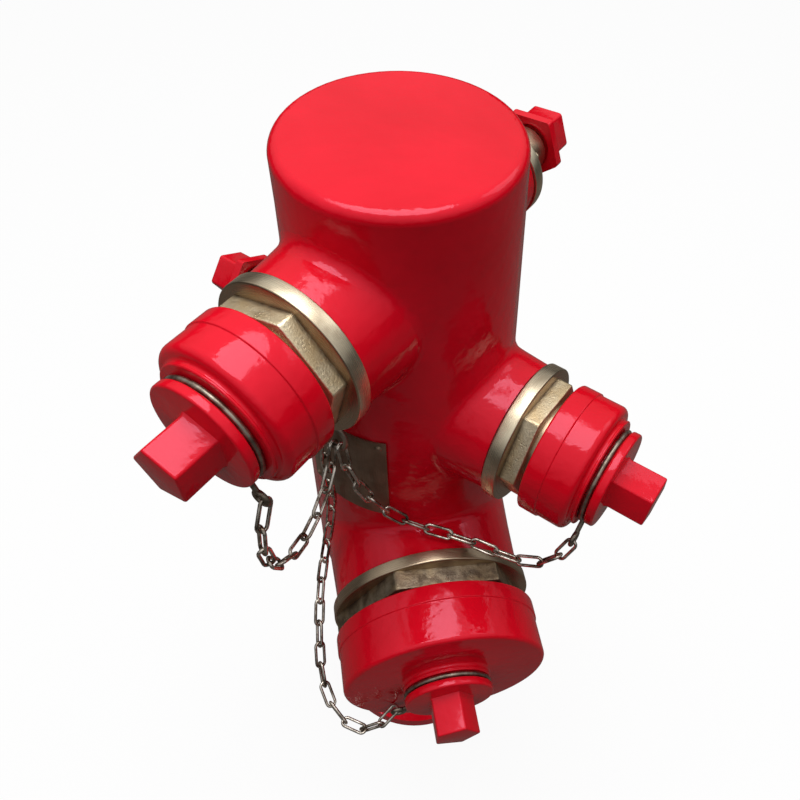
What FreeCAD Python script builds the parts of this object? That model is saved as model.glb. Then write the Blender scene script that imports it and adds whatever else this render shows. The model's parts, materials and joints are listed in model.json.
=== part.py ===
import FreeCAD, Part
import math
import os
import Sketcher
from FreeCAD import Placement, Rotation, Vector

# Wet barrel fire hydrant: one hollow casting with two hose outlets and a pumper
# outlet, each closed by its own valve, nozzle and chained cap.
# Millimetres and degrees; +Z up, origin at the centre of the base flange's underside.
# An azimuth is counted from -Y (the pumper's side) towards +X.

doc = FreeCAD.newDocument("WetBarrelHydrant")
sheet = doc.addObject("Spreadsheet::Sheet", "Sizes")

drivingSizes = {
    # barrel casting
    "totalHeight": 860.0,
    "topRadius": 80.0,
    "topEdgeRound": 7.6,
    "bellyRadius": 98.0,
    "bellyBelowPumper": 61.0,
    "neckRadius": 69.0,
    "neckHeight": 120.0,
    "inletRadius": 51.0,
    "barrelWall": 10.0,
    "topWall": 14.0,
    "flangeThickness": 24.0,
    "flangeRound": 10.0,
    "flangeEdge": 9.55,
    "boltRoom": 6.75,
    "boltHoleRadius": 9.5,
    "boltCount": 8.0,
    "bellyRound": 160.0,
    "neckRound": 90.0,
    "bossRound": 9.0,
    # where the outlets stand
    "topSpare": 23.4,
    "upperAzimuth": -45.0,
    "outletDrop": 116.0,
    "lowerAzimuth": 45.0,
    "pumperSpare": 34.0,
    "pumperAzimuth": 0.0,
    # hose outlet, from the barrel's axis outwards
    "hoseBossRootRadius": 63.0,
    "hoseBossRadius": 54.5,
    "hoseBossStand": 11.1,
    "hoseSeatDepth": 29.1,
    "hoseSpigotRadius": 43.0,
    "hoseBore": 31.75,
    "hoseCollarRadius": 57.4,
    "hoseCollarThickness": 9.6,
    "hoseHexRadius": 55.5,
    "hoseHexLength": 16.8,
    "hoseThreadRadius": 38.95,
    "hoseThreadLength": 26.0,
    "hoseCapGap": 3.0,
    "hoseCapBandRadius": 53.2,
    "hoseCapBandLength": 15.3,
    "hoseCapRadius": 52.1,
    "hoseCapRoof": 15.1,
    "hoseCapShoulder": 8.0,
    "hoseHubLength": 5.6,
    "hoseRubberRadius": 38.0,
    "hoseRubberThickness": 9.0,
    "hoseRetainerRadius": 26.0,
    "hoseCarrierRadius": 40.0,
    "hoseCarrierThickness": 8.5,
    "hoseStemBossStand": 23.5,
    # pumper outlet, from the barrel's axis outwards
    "pumperBossRootRadius": 92.0,
    "pumperBossRadius": 86.5,
    "pumperBossStand": 21.2,
    "pumperSeatDepth": 27.2,
    "pumperSpigotRadius": 72.0,
    "pumperBore": 57.0,
    "pumperCollarRadius": 91.2,
    "pumperCollarThickness": 7.8,
    "pumperHexRadius": 90.5,
    "pumperHexLength": 20.0,
    "pumperThreadRadius": 73.15,
    "pumperThreadLength": 31.0,
    "pumperCapGap": 2.9,
    "pumperCapBandRadius": 91.4,
    "pumperCapBandLength": 14.6,
    "pumperCapRadius": 90.2,
    "pumperCapRoof": 17.2,
    "pumperCapShoulder": 7.0,
    "pumperHubLength": 11.6,
    "pumperRubberRadius": 65.0,
    "pumperRubberThickness": 12.0,
    "pumperRetainerRadius": 48.0,
    "pumperCarrierRadius": 67.0,
    "pumperCarrierThickness": 11.0,
    "pumperStemBossStand": 39.5,
    # shared by the three outlets
    "capHubRadius": 34.0,
    "discRadius": 39.2,
    "discThickness": 7.2,
    "discRound": 1.8,
    "capNutRadius": 21.06,
    "capNutLength": 31.5,
    "nutRound": 2.2,
    "capRearRound": 1.6,
    "gasketThickness": 5.0,
    "flatSealThickness": 1.5,
    "ringRadius": 37.0,
    "ringWire": 2.0,
    "ringTail": 16.0,
    "ringLoopRadius": 5.5,
    "stemBossRootRadius": 42.0,
    "stemBossRadius": 35.5,
    "insertSpigotRadius": 26.0,
    "insertDepth": 38.0,
    "insertCollarRadius": 37.0,
    "insertCollarThickness": 10.5,
    "insertHexRadius": 27.0,
    "insertHexLength": 14.0,
    "insertNeckRadius": 18.5,
    "insertNeckLength": 22.0,
    "nutStand": 8.5,
    "stemRadius": 12.7,
    "stemDriveRadius": 10.0,
    "stemDriveLength": 18.0,
    "hubRadius": 21.0,
    "hubLength": 34.0,
    "hubGrip": 20.0,
    "snoutRadius": 9.5,
    "valveNutRadius": 16.5,
    "valveNutLength": 9.5,
    "retainerThickness": 5.0,
    "sealRingWire": 1.5,
    "nutSkirtRadius": 34.0,
    "nutSkirtLength": 7.5,
    "nutRecessRadius": 21.0,
    "nutRecessDepth": 5.0,
    "nutDriveRadius": 24.57,
    "nutDriveLength": 20.0,
    # clearances
    "turnClearance": 0.35,
    "stemClearance": 0.05,
    "seatClearance": 0.3,
    "fitClearance": 0.02,
    # nameplate and chain anchor
    "plateWidth": 80.0,
    "plateHeight": 96.0,
    "plateThickness": 1.2,
    "plateAzimuth": -44.5,
    "plateBelowEye": 22.0,
    "rivetRadius": 3.0,
    "rivetHeadHeight": 1.6,
    "rivetInset": 6.0,
    "eyeSpare": 20.0,
    "eyeWire": 2.5,
    "eyeLoopRadius": 7.0,
    "eyeShankRadius": 3.0,
    "eyeShankDepth": 8.0,
    "eyeStandOff": 4.0,
    "anchorRingRadius": 15.0,
    "anchorRingWire": 2.0,
    # chains
    "linkLength": 27.0,
    "linkWidth": 11.0,
    "linkWire": 1.4,
    "linkGap": 0.7,
    "chainStandOff": 8.0,
    "upperChainBend": 104.2,
    "upperFan": 4.0,
    "lowerFan": 40.0,
    "pumperFan": -25.0,
}

for rowNumber, (alias, value) in enumerate(drivingSizes.items(), start=1):
    cell = "A%d" % rowNumber
    sheet.set(cell, "%g" % value)
    sheet.setAlias(cell, alias)
doc.recompute()


class Size:
    # A length with its present value and the sheet expression that drives it.
    def __init__(self, value, text):
        self.value = float(value)
        self.text = text

    def combine(self, other, sign, result):
        text = other.text if isinstance(other, Size) else "%g" % other
        return Size(result, "(%s %s %s)" % (self.text, sign, text))

    def __add__(self, other):
        return self.combine(other, "+", self.value + number(other))

    def __sub__(self, other):
        return self.combine(other, "-", self.value - number(other))

    def __mul__(self, other):
        return self.combine(other, "*", self.value * number(other))

    def __truediv__(self, other):
        return self.combine(other, "/", self.value / number(other))

    def __neg__(self):
        return Size(-self.value, "(-1 * %s)" % self.text)


def number(item):
    return item.value if isinstance(item, Size) else float(item)


def size(alias):
    return Size(sheet.get(alias), "Sizes." + alias)


zero = Size(0.0, "0")


# Sketches and features

def originItem(body, role):
    return next(item for item in body.Origin.OriginFeatures if item.Role == role)


def newBody(label, placement):
    body = doc.addObject("PartDesign::Body", label)
    body.Label = label
    body.Placement = placement
    return body


def newSketch(body, name, plane, offset=None):
    sketch = body.newObject("Sketcher::SketchObject", name)
    sketch.AttachmentSupport = [(originItem(body, plane), "")]
    sketch.MapMode = "FlatFace"
    if offset is not None:
        sketch.AttachmentOffset = offset
    return sketch


def bindConstraint(sketch, index, length):
    sketch.setExpression("Constraints[%d]" % index, length.text)


def pinPoint(sketch, edge, point, across, along):
    # Ties one sketch point to the origin by its two driven coordinates.
    for kind, axis, length in (("DistanceX", -2, across), ("DistanceY", -1, along)):
        if abs(length.value) < 1e-9:
            sketch.addConstraint(Sketcher.Constraint("PointOnObject", edge, point, axis))
        elif length.value > 0:
            index = sketch.addConstraint(
                Sketcher.Constraint(kind, -1, 1, edge, point, length.value))
            bindConstraint(sketch, index, length)
        else:
            index = sketch.addConstraint(
                Sketcher.Constraint(kind, edge, point, -1, 1, -length.value))
            bindConstraint(sketch, index, -length)


def drawOutline(sketch, corners):
    # A closed outline of straight edges, each corner an (across, along) pair of sizes.
    points = [Vector(number(a), number(b), 0) for a, b in corners]
    edges = []
    for here, there in zip(points, points[1:] + points[:1]):
        edges.append(sketch.addGeometry(Part.LineSegment(here, there), False))
    for edge, following in zip(edges, edges[1:] + edges[:1]):
        sketch.addConstraint(Sketcher.Constraint("Coincident", edge, 2, following, 1))
    for edge, (across, along) in zip(edges, corners):
        pinPoint(sketch, edge, 1, across, along)


def drawCircle(sketch, radius, across=zero, along=zero):
    centre = Vector(across.value, along.value, 0)
    edge = sketch.addGeometry(Part.Circle(centre, Vector(0, 0, 1), radius.value), False)
    pinPoint(sketch, edge, 3, across, along)
    index = sketch.addConstraint(Sketcher.Constraint("Radius", edge, radius.value))
    bindConstraint(sketch, index, radius)


def drawPolygon(sketch, sides, radius, turn=0.0):
    # A regular polygon about the origin, its first corner turned from the +Y side.
    corners = []
    for step in range(sides):
        angle = math.radians(turn + 360.0 * step / sides)
        corners.append((radius * -math.sin(angle), radius * math.cos(angle)))
    drawOutline(sketch, corners)


def revolve(body, name, corners, plane="XZ_Plane", offset=None, axis="V_Axis", cut=False):
    sketch = newSketch(body, name + "Sketch", plane, offset)
    drawOutline(sketch, corners)
    kind = "PartDesign::Groove" if cut else "PartDesign::Revolution"
    feature = body.newObject(kind, name)
    feature.Profile = sketch
    feature.ReferenceAxis = (sketch, [axis])
    feature.Angle = 360
    return feature


def pad(body, name, length, base, draw):
    sketch = newSketch(body, name + "Sketch", "XY_Plane")
    sketch.setExpression("AttachmentOffset.Base.z", base.text)
    draw(sketch)
    feature = body.newObject("PartDesign::Pad", name)
    feature.Profile = sketch
    feature.Length = length.value
    feature.setExpression("Length", length.text)
    return feature


def roundEdges(body, name, radius, wanted):
    doc.recompute()
    base = body.Tip
    names = []
    for index, edge in enumerate(base.Shape.Edges, start=1):
        if wanted(edge):
            names.append("Edge%d" % index)
    if not names:
        raise RuntimeError("no edge to round for " + name)
    feature = body.newObject("PartDesign::Fillet", name)
    feature.Base = (base, names)
    feature.Radius = radius.value
    feature.setExpression("Radius", radius.text)
    return feature


def isCircleAt(edge, radius, along):
    # True for a full circle of that radius about the local Z axis at that height.
    if not isinstance(edge.Curve, Part.Circle):
        return False
    centre = edge.Curve.Center
    return (abs(edge.Curve.Radius - radius.value) < 1e-4 and abs(centre.z - along.value) < 1e-4
            and math.hypot(centre.x, centre.y) < 1e-4)


def isBlendEdge(edge):
    # True where a boss runs into the barrel: neither a circle nor a straight line.
    return not isinstance(edge.Curve, (Part.Circle, Part.Line))


# Heights, each from the piece above it

upperHeight = size("totalHeight") - size("topEdgeRound") - size("topSpare") - size("hoseBossRootRadius")
lowerHeight = upperHeight - size("outletDrop")
pumperHeight = lowerHeight - size("hoseBossRootRadius") - size("pumperSpare") - size("pumperBossRootRadius")
bellyHeight = pumperHeight - size("bellyBelowPumper")
eyeHeight = upperHeight - size("hoseBossRootRadius") - size("eyeSpare")
plateTop = eyeHeight - size("plateBelowEye")


# Outlets

outlets = [
    {"name": "upper_hose", "kind": "hose", "height": upperHeight, "azimuth": sheet.get("upperAzimuth"),
     "nutTurn": 16.0, "tailSwing": 25.0, "operatingTurn": 30.0},
    {"name": "lower_hose", "kind": "hose", "height": lowerHeight, "azimuth": sheet.get("lowerAzimuth"),
     "nutTurn": 40.0, "tailSwing": -35.0, "operatingTurn": 12.0},
    {"name": "pumper", "kind": "pumper", "height": pumperHeight, "azimuth": sheet.get("pumperAzimuth"),
     "nutTurn": 52.0, "tailSwing": -50.0, "operatingTurn": 0.0},
]
eye = {"height": eyeHeight, "azimuth": sheet.get("plateAzimuth")}


def outletSize(outlet, word):
    return size(outlet["kind"] + word)


def headingOf(azimuth):
    angle = math.radians(azimuth)
    return Vector(math.sin(angle), -math.cos(angle), 0)


def axisPlacement(outlet, behind=False):
    # Local Z points out along the outlet, or out of the far side; local Y stays upright.
    along = headingOf(outlet["azimuth"])
    if behind:
        along = along * -1
    up = Vector(0, 0, 1)
    turn = Rotation(up.cross(along), up, along, "ZXY")
    return Placement(Vector(0, 0, outlet["height"].value), turn)


def outletBody(outlet, word, behind=False):
    body = newBody(outlet["name"] + "_" + word, axisPlacement(outlet, behind))
    body.setExpression("Placement.Base.z", outlet["height"].text)
    return body


def bossEnd(outlet):
    return size("bellyRadius") + outletSize(outlet, "BossStand")


def seatFace(outlet):
    return bossEnd(outlet) - outletSize(outlet, "SeatDepth")


def stemBossEnd(outlet):
    return size("bellyRadius") + outletSize(outlet, "StemBossStand")


def collarBack(outlet):
    return bossEnd(outlet) + size("flatSealThickness")


def hexStart(outlet):
    return collarBack(outlet) + outletSize(outlet, "CollarThickness")


def hexEnd(outlet):
    return hexStart(outlet) + outletSize(outlet, "HexLength")


def nozzleEnd(outlet):
    return hexEnd(outlet) + outletSize(outlet, "ThreadLength")


def gasketStart(outlet):
    return nozzleEnd(outlet) + size("seatClearance")


def capFront(outlet):
    return gasketStart(outlet) + size("gasketThickness") + outletSize(outlet, "CapRoof")


def discBack(outlet):
    return capFront(outlet) + outletSize(outlet, "HubLength")


def discFront(outlet):
    return discBack(outlet) + size("discThickness")


def insertBack(outlet):
    return stemBossEnd(outlet) + size("flatSealThickness")


def insertFront(outlet):
    return insertBack(outlet) + size("insertCollarThickness")


def insertEnd(outlet):
    return insertFront(outlet) + size("insertHexLength") + size("insertNeckLength")


def nutBack(outlet):
    return insertEnd(outlet) + size("nutStand")


def makeNozzle(outlet):
    body = outletBody(outlet, "nozzle")
    bore = outletSize(outlet, "Bore")
    seat = seatFace(outlet)
    spigot = outletSize(outlet, "SpigotRadius")
    collar = outletSize(outlet, "CollarRadius")
    thread = outletSize(outlet, "ThreadRadius")
    back = collarBack(outlet)
    front = hexStart(outlet)
    end = nozzleEnd(outlet)
    revolve(body, "Turning", [
        (bore, seat), (spigot, seat), (spigot, back), (collar, back), (collar, front),
        (thread, front), (thread, end), (bore, end)])

    def drawHex(sketch):
        drawPolygon(sketch, 6, outletSize(outlet, "HexRadius"))
        drawCircle(sketch, bore)

    pad(body, "WrenchHex", outletSize(outlet, "HexLength"), front, drawHex)
    return body


def makeFlatRing(outlet, word, inner, outer, start, thickness, behind=False):
    body = outletBody(outlet, word, behind)
    end = start + thickness
    revolve(body, "Ring", [(inner, start), (outer, start), (outer, end), (inner, end)])
    return body


def makeCap(outlet):
    body = outletBody(outlet, "cap")
    rear = hexEnd(outlet) + outletSize(outlet, "CapGap")
    band = outletSize(outlet, "CapBandRadius")
    bandEnd = rear + outletSize(outlet, "CapBandLength")
    main = outletSize(outlet, "CapRadius")
    front = capFront(outlet)
    hub = size("capHubRadius")
    bore = outletSize(outlet, "ThreadRadius") + size("turnClearance")
    depth = gasketStart(outlet) + size("gasketThickness")
    disc = size("discRadius")
    back = discBack(outlet)
    face = discFront(outlet)
    revolve(body, "Turning", [
        (zero, depth), (bore, depth), (bore, rear), (band, rear), (band, bandEnd), (main, bandEnd),
        (main, front), (hub, front), (hub, back), (disc, back), (disc, face), (zero, face)])
    nutLength = size("capNutLength")
    pad(body, "PentagonNut", nutLength, face,
        lambda sketch: drawPolygon(sketch, 5, size("capNutRadius"), outlet["nutTurn"]))
    roundEdges(body, "Shoulder", outletSize(outlet, "CapShoulder"),
               lambda edge: isCircleAt(edge, main, front))
    roundEdges(body, "RearRound", size("capRearRound"),
               lambda edge: isCircleAt(edge, band, rear))
    roundEdges(body, "DiscRound", size("discRound"),
               lambda edge: isCircleAt(edge, disc, back) or isCircleAt(edge, disc, face))
    nutEnd = (face + nutLength).value
    roundEdges(body, "NutRound", size("nutRound"),
               lambda edge: edge.BoundBox.ZMax > nutEnd - 1e-3)
    return body


def ringHang():
    # How far the loose ring hangs below the hub's axis.
    return size("ringRadius") - size("ringWire") - size("capHubRadius") - size("seatClearance")


def ringMiddle(outlet):
    return discBack(outlet) - outletSize(outlet, "HubLength") / 2


def tailHeading(outlet):
    # The way the ring's tail points, in the outlet's own axes.
    swing = math.radians(outlet["tailSwing"])
    return Vector(math.sin(swing), -math.cos(swing), 0)


def makeCapRing(outlet):
    # A wire ring round the cap's hub, with a straight tail that ends in a loop for the chain.
    name = outlet["name"]
    wire = size("ringWire")
    tail = size("ringTail")
    ring = doc.addObject("Part::Torus", name + "_ring_wire")
    loop = doc.addObject("Part::Torus", name + "_ring_loop")
    for torus, mean in ((ring, size("ringRadius")), (loop, size("ringLoopRadius"))):
        torus.Radius1 = mean.value
        torus.Radius2 = wire.value
        torus.setExpression("Radius1", mean.text)
        torus.setExpression("Radius2", wire.text)
    rod = doc.addObject("Part::Cylinder", name + "_ring_tail")
    rod.Radius = wire.value
    rod.Height = tail.value
    rod.setExpression("Radius", wire.text)
    rod.setExpression("Height", tail.text)
    heading = tailHeading(outlet)
    centre = Vector(0, -ringHang().value, ringMiddle(outlet).value)
    tailStart = size("ringRadius").value
    loopCentre = tailStart + tail.value + size("ringLoopRadius").value
    ring.Placement = Placement(centre, Rotation())
    rod.Placement = Placement(centre + heading * tailStart, Rotation(Vector(0, 0, 1), heading))
    loop.Placement = Placement(centre + heading * loopCentre, Rotation())
    fused = doc.addObject("Part::MultiFuse", name + "_cap_ring")
    fused.Shapes = [ring, rod, loop]
    fused.Label = name + "_cap_ring"
    fused.Placement = axisPlacement(outlet)
    fused.setExpression("Placement.Base.z", outlet["height"].text)
    return fused


def makeCarrier(outlet):
    # The plate behind the rubber, with a snout through it and a hub that holds the stem.
    body = outletBody(outlet, "valve_carrier")
    plateFront = rubberBack(outlet)
    plateBack = plateFront - outletSize(outlet, "CarrierThickness")
    hubBack = plateBack - size("hubLength")
    gripEnd = hubBack + size("hubGrip")
    snout = size("snoutRadius")
    snoutEnd = valveNutStart(outlet) + size("valveNutLength")
    plate = outletSize(outlet, "CarrierRadius")
    hub = size("hubRadius")
    bore = size("stemRadius") + size("stemClearance")
    revolve(body, "Turning", [
        (zero, gripEnd), (bore, gripEnd), (bore, hubBack), (hub, hubBack), (hub, plateBack),
        (plate, plateBack), (plate, plateFront), (snout, plateFront), (snout, snoutEnd),
        (zero, snoutEnd)])
    return body


def rubberBack(outlet):
    return seatFace(outlet) - size("seatClearance") - outletSize(outlet, "RubberThickness")


def valveNutStart(outlet):
    return seatFace(outlet) - size("seatClearance") + size("retainerThickness")


def makeValveNut(outlet):
    body = outletBody(outlet, "valve_nut")

    def drawNut(sketch):
        drawPolygon(sketch, 6, size("valveNutRadius"))
        drawCircle(sketch, size("snoutRadius") + size("fitClearance"))

    pad(body, "Hexagon", size("valveNutLength"), valveNutStart(outlet), drawNut)
    return body


def stemTip(outlet):
    # Signed distance on the far side's axis, so the tip inside the carrier is negative.
    hubBack = rubberBack(outlet) - outletSize(outlet, "CarrierThickness") - size("hubLength")
    return -(hubBack + size("hubGrip") - size("seatClearance"))


def makeStem(outlet):
    body = outletBody(outlet, "stem", True)
    tip = stemTip(outlet)
    shoulder = nutBack(outlet) + size("nutRecessDepth")
    end = shoulder + size("stemDriveLength")
    radius = size("stemRadius")
    drive = size("stemDriveRadius")
    revolve(body, "Turning", [
        (zero, tip), (radius, tip), (radius, shoulder), (drive, shoulder), (drive, end),
        (zero, end)])
    return body


def sealGrooves(outlet):
    # The two stem seals stand in the insert's collar, a few wire widths apart.
    first = insertBack(outlet) + size("sealRingWire") * 2
    return [first, first + size("sealRingWire") * 4]


def makeInsert(outlet):
    body = outletBody(outlet, "stem_insert", True)
    back = insertBack(outlet)
    inner = back - size("insertDepth")
    front = insertFront(outlet)
    neckEnd = insertEnd(outlet)
    bore = size("stemRadius") + size("stemClearance")
    spigot = size("insertSpigotRadius")
    collar = size("insertCollarRadius")
    neck = size("insertNeckRadius")
    revolve(body, "Turning", [
        (bore, inner), (spigot, inner), (spigot, back), (collar, back), (collar, front),
        (neck, front), (neck, neckEnd), (bore, neckEnd)])

    def drawHex(sketch):
        drawPolygon(sketch, 6, size("insertHexRadius"))
        drawCircle(sketch, bore)

    pad(body, "WrenchHex", size("insertHexLength"), front, drawHex)
    wire = size("sealRingWire")
    deep = size("stemRadius") + size("turnClearance") + wire * 2 + size("fitClearance")
    for count, middle in enumerate(sealGrooves(outlet), start=1):
        low = middle - wire - size("fitClearance")
        high = middle + wire + size("fitClearance")
        revolve(body, "SealGroove%d" % count, [
            (zero, low), (deep, low), (deep, high), (zero, high)], cut=True)
    return body


def makeStemSeals(outlet):
    rings = []
    wire = size("sealRingWire")
    mean = size("stemRadius") + size("turnClearance") + wire
    for count, middle in enumerate(sealGrooves(outlet), start=1):
        ring = doc.addObject("Part::Torus", "%s_seal_%d" % (outlet["name"], count))
        ring.Radius1 = mean.value
        ring.Radius2 = wire.value
        ring.setExpression("Radius1", mean.text)
        ring.setExpression("Radius2", wire.text)
        ring.Placement = Placement(Vector(0, 0, middle.value), Rotation())
        ring.setExpression("Placement.Base.z", middle.text)
        rings.append(ring)
    group = doc.addObject("Part::Compound", outlet["name"] + "_stem_seals")
    group.Links = rings
    group.Label = outlet["name"] + "_stem_seals"
    group.Placement = axisPlacement(outlet, True)
    group.setExpression("Placement.Base.z", outlet["height"].text)
    return group


def makeOperatingNut(outlet):
    # A pentagon drive on a wider pentagon skirt, hollowed behind for the stem's shoulder.
    body = outletBody(outlet, "operating_nut", True)
    back = nutBack(outlet)
    skirtLength = size("nutSkirtLength")
    turn = outlet["operatingTurn"]
    pad(body, "Skirt", skirtLength, back,
        lambda sketch: drawPolygon(sketch, 5, size("nutSkirtRadius"), turn))
    pad(body, "Drive", size("nutDriveLength"), back + skirtLength,
        lambda sketch: drawPolygon(sketch, 5, size("nutDriveRadius"), turn))
    floor = back + size("nutRecessDepth")
    socket = size("stemDriveRadius") + size("fitClearance")
    socketEnd = floor + size("stemDriveLength") + size("seatClearance")
    recess = size("nutRecessRadius")
    revolve(body, "Socket", [
        (zero, back), (recess, back), (recess, floor), (socket, floor), (socket, socketEnd),
        (zero, socketEnd)], cut=True)
    nutEnd = (back + skirtLength + size("nutDriveLength")).value
    roundEdges(body, "NutRound", size("nutRound"),
               lambda edge: edge.BoundBox.ZMax > nutEnd - 1e-3)
    return body


# Barrel casting

def outletFrame(outlet, behind=False):
    # A sketch plane through an outlet's axis: local X outwards, local Y upright.
    turn = outlet["azimuth"] - 90.0 + (180.0 if behind else 0.0)
    return Placement(Vector(0, outlet["height"].value, 0), Rotation(Vector(0, 1, 0), turn))


def axialFeature(body, outlet, name, corners, behind=False, cut=False):
    feature = revolve(body, name, corners, "XZ_Plane", outletFrame(outlet, behind), "H_Axis", cut)
    feature.Profile[0].setExpression("AttachmentOffset.Base.y", outlet["height"].text)
    return feature


def barrelGrowth():
    return (size("bellyRadius") - size("topRadius")) / (size("totalHeight") - bellyHeight)


def barrelRadiusAt(height):
    # The outside of the upper barrel, which widens evenly from its top to its belly.
    return size("topRadius") + (size("totalHeight") - height) * barrelGrowth()


def boltRadius():
    # The bolts stand clear of the round at the neck's foot.
    return size("neckRadius") + size("flangeRound") + size("boltRoom") + size("boltHoleRadius")


def makeBarrel():
    body = newBody("barrel", Placement())
    top = size("totalHeight")
    flange = size("flangeThickness")
    rim = boltRadius() + size("boltHoleRadius") + size("flangeEdge")
    neck = size("neckRadius")
    revolve(body, "Outside", [
        (zero, zero), (rim, zero), (rim, flange), (neck, flange),
        (neck, size("neckHeight")), (size("bellyRadius"), bellyHeight),
        (size("topRadius"), top), (zero, top)])
    roundEdges(body, "BellyRound", size("bellyRound"),
               lambda edge: isCircleAt(edge, size("bellyRadius"), bellyHeight))
    roundEdges(body, "NeckRound", size("neckRound"),
               lambda edge: isCircleAt(edge, neck, size("neckHeight")))
    for outlet in outlets:
        end = bossEnd(outlet)
        axialFeature(body, outlet, outlet["name"] + "Boss", [
            (zero, zero), (zero, outletSize(outlet, "BossRootRadius")),
            (end, outletSize(outlet, "BossRadius")), (end, zero)])
        far = stemBossEnd(outlet)
        axialFeature(body, outlet, outlet["name"] + "StemBoss", [
            (zero, zero), (zero, size("stemBossRootRadius")), (far, size("stemBossRadius")),
            (far, zero)], True)
    roundEdges(body, "BossRound", size("bossRound"), isBlendEdge)
    wall = size("barrelWall")
    roof = top - size("topWall")
    revolve(body, "Waterway", [
        (zero, zero), (size("inletRadius"), zero), (size("inletRadius"), size("neckHeight")),
        (size("bellyRadius") - wall, bellyHeight), (size("topRadius") - wall, roof),
        (zero, roof)], cut=True)
    for outlet in outlets:
        root = seatFace(outlet) / 2
        bore = outletSize(outlet, "SpigotRadius") + size("fitClearance")
        end = bossEnd(outlet)
        axialFeature(body, outlet, outlet["name"] + "Bore", [
            (root, zero), (root, bore), (end, bore), (end, zero)], cut=True)
        hole = size("insertSpigotRadius") + size("fitClearance")
        far = stemBossEnd(outlet)
        axialFeature(body, outlet, outlet["name"] + "StemBore", [
            (root, zero), (root, hole), (far, hole), (far, zero)], True, True)
    socket = size("eyeShankRadius") + size("fitClearance")
    face = barrelRadiusAt(eyeHeight)
    axialFeature(body, eye, "EyeSocket", [
        (eyeDepth(), zero), (eyeDepth(), socket), (face + socket, socket), (face + socket, zero)],
        cut=True)
    holes = newSketch(body, "BoltHoleSketch", "XY_Plane")
    drawCircle(holes, size("boltHoleRadius"), boltRadius())
    drill = body.newObject("PartDesign::Pocket", "BoltHole")
    drill.Profile = holes
    drill.Length = flange.value
    drill.setExpression("Length", flange.text)
    drill.Reversed = True
    pattern = body.newObject("PartDesign::PolarPattern", "BoltHoles")
    pattern.Originals = [drill]
    pattern.Axis = (holes, ["N_Axis"])
    pattern.Angle = 360
    pattern.Occurrences = int(sheet.get("boltCount"))
    pattern.setExpression("Occurrences", size("boltCount").text)
    body.Tip = pattern
    roundEdges(body, "TopRound", size("topEdgeRound"),
               lambda edge: isCircleAt(edge, size("topRadius"), top))
    roundEdges(body, "FlangeRound", size("flangeRound"),
               lambda edge: isCircleAt(edge, neck, flange))
    return body


# Nameplate and chain anchor

def eyeDepth():
    # Where the eye's shank ends inside the barrel wall.
    return barrelRadiusAt(eyeHeight) - size("eyeShankDepth")


def plateFaces(height):
    # The plate's back and front distance from the axis at a height.
    back = barrelRadiusAt(height) + size("fitClearance")
    return back, back + size("plateThickness")


def plateSpan():
    # The angle that the plate covers round the barrel, in degrees.
    middle = plateTop - size("plateHeight") / 2
    return size("plateWidth") / barrelRadiusAt(middle) * math.degrees(1)


def makeNameplate():
    body = newBody("nameplate", Placement())
    top = plateTop
    bottom = top - size("plateHeight")
    topBack, topFront = plateFaces(top)
    bottomBack, bottomFront = plateFaces(bottom)
    turn = Placement(Vector(), Rotation(Vector(0, 1, 0), eye["azimuth"] - 90.0))
    feature = revolve(body, "Sheet", [
        (bottomBack, bottom), (bottomFront, bottom), (topFront, top), (topBack, top)], offset=turn)
    feature.Angle = plateSpan().value
    feature.setExpression("Angle", plateSpan().text)
    feature.Midplane = True
    return body


def makeRivets():
    heads = []
    inset = size("rivetInset")
    top = plateTop - inset
    bottom = plateTop - size("plateHeight") + inset
    for row, height in (("top", top), ("bottom", bottom)):
        front = plateFaces(height)[1] + size("fitClearance")
        reach = (plateSpan().value / 2) - math.degrees(inset.value / front.value)
        for side, sign in (("left", -1), ("right", 1)):
            head = doc.addObject("Part::Cone", "rivet_%s_%s" % (row, side))
            head.Radius1 = size("rivetRadius").value
            head.Radius2 = size("rivetRadius").value / 2
            head.Height = size("rivetHeadHeight").value
            head.setExpression("Radius1", size("rivetRadius").text)
            head.setExpression("Radius2", (size("rivetRadius") / 2).text)
            head.setExpression("Height", size("rivetHeadHeight").text)
            outward = headingOf(eye["azimuth"] + sign * reach)
            square = outward + Vector(0, 0, barrelGrowth().value)
            head.Placement = Placement(
                outward * front.value + Vector(0, 0, height.value), Rotation(Vector(0, 0, 1), square))
            heads.append(head)
    group = doc.addObject("Part::Compound", "nameplate_rivets")
    group.Links = heads
    group.Label = "nameplate_rivets"
    return group


def eyeCentre():
    reach = barrelRadiusAt(eyeHeight) + size("eyeStandOff") + size("eyeLoopRadius")
    return headingOf(eye["azimuth"]) * reach.value + Vector(0, 0, eyeHeight.value)


def makeChainEye():
    # A screwed eye: a wire loop on a shank that stands in the barrel's wall.
    outward = headingOf(eye["azimuth"])
    loop = doc.addObject("Part::Torus", "eye_loop")
    loop.Radius1 = size("eyeLoopRadius").value
    loop.Radius2 = size("eyeWire").value
    loop.setExpression("Radius1", size("eyeLoopRadius").text)
    loop.setExpression("Radius2", size("eyeWire").text)
    loop.Placement = Placement(eyeCentre(), Rotation(Vector(0, 0, 1), outward.cross(Vector(0, 0, 1))))
    shank = doc.addObject("Part::Cylinder", "eye_shank")
    length = size("eyeShankDepth") + size("eyeStandOff") - size("seatClearance")
    shank.Radius = size("eyeShankRadius").value
    shank.Height = length.value
    shank.setExpression("Radius", size("eyeShankRadius").text)
    shank.setExpression("Height", length.text)
    start = (eyeDepth() + size("seatClearance")).value
    shank.Placement = Placement(
        outward * start + Vector(0, 0, eyeHeight.value), Rotation(Vector(0, 0, 1), outward))
    fused = doc.addObject("Part::Fuse", "chain_eye")
    fused.Base = loop
    fused.Tool = shank
    fused.Label = "chain_eye"
    return fused


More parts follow.
